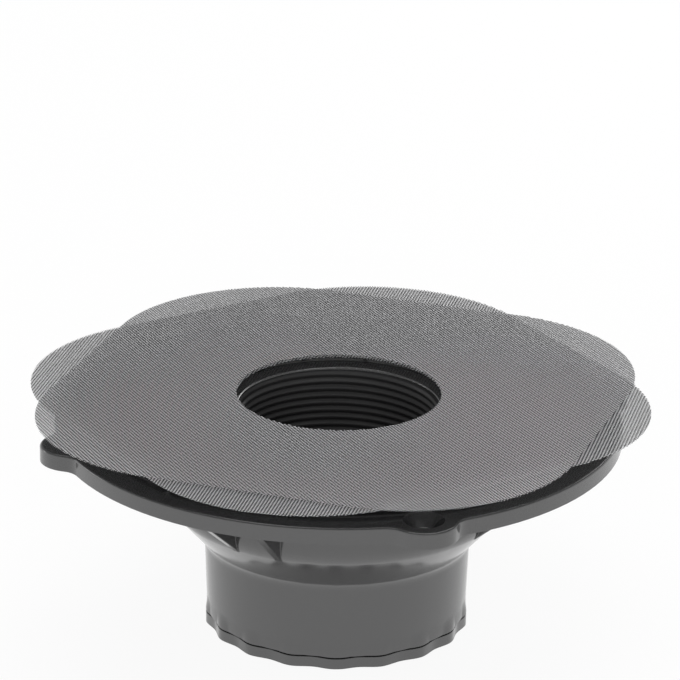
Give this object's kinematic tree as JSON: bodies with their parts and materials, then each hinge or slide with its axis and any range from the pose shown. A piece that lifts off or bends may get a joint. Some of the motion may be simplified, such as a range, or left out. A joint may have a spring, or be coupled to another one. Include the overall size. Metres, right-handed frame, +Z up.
{
  "type": "floor drain",
  "caption": "Clamping-ring shower floor drain: round flanged body with a threaded barrel ring, screws in brass inserts and woven screens over the weep holes.",
  "frame": {"origin": "on the axis of the drain and of the barrel's bore, level with the flange's top face", "axes": "+Z up along the drain's axis, -Y towards the camera of the picture"},
  "size_m": [0.1764, 0.1764, 0.0692],
  "materials": {
    "black_plastic": "glossy black ABS moulding",
    "brass": "turned brass",
    "stainless": "bright stainless steel",
    "wire_cloth": "woven grey wire"
  },
  "bodies": {
    "drain": {"drain_body": "black_plastic", "hub_collar": "black_plastic", "brass_insert_1": "brass", "brass_insert_2": "brass", "brass_insert_3": "brass", "brass_insert_4": "brass"},
    "clamp": {"clamping_ring": "black_plastic", "clamp_screw_1": "stainless", "clamp_screw_2": "stainless", "clamp_screw_3": "stainless", "clamp_screw_4": "stainless"},
    "screens": {"screen_lower": "wire_cloth", "screen_upper": "wire_cloth"}
  },
  "joints": [
    {"name": "ring_lift", "type": "slide", "parent": "drain", "child": "clamp", "axis": [0, 0, 1], "range_m": [0, 0.042]},
    {"name": "screen_lift", "type": "slide", "parent": "clamp", "child": "screens", "axis": [0, 0, 1], "range_m": [0, 0.0437]}
  ]
}
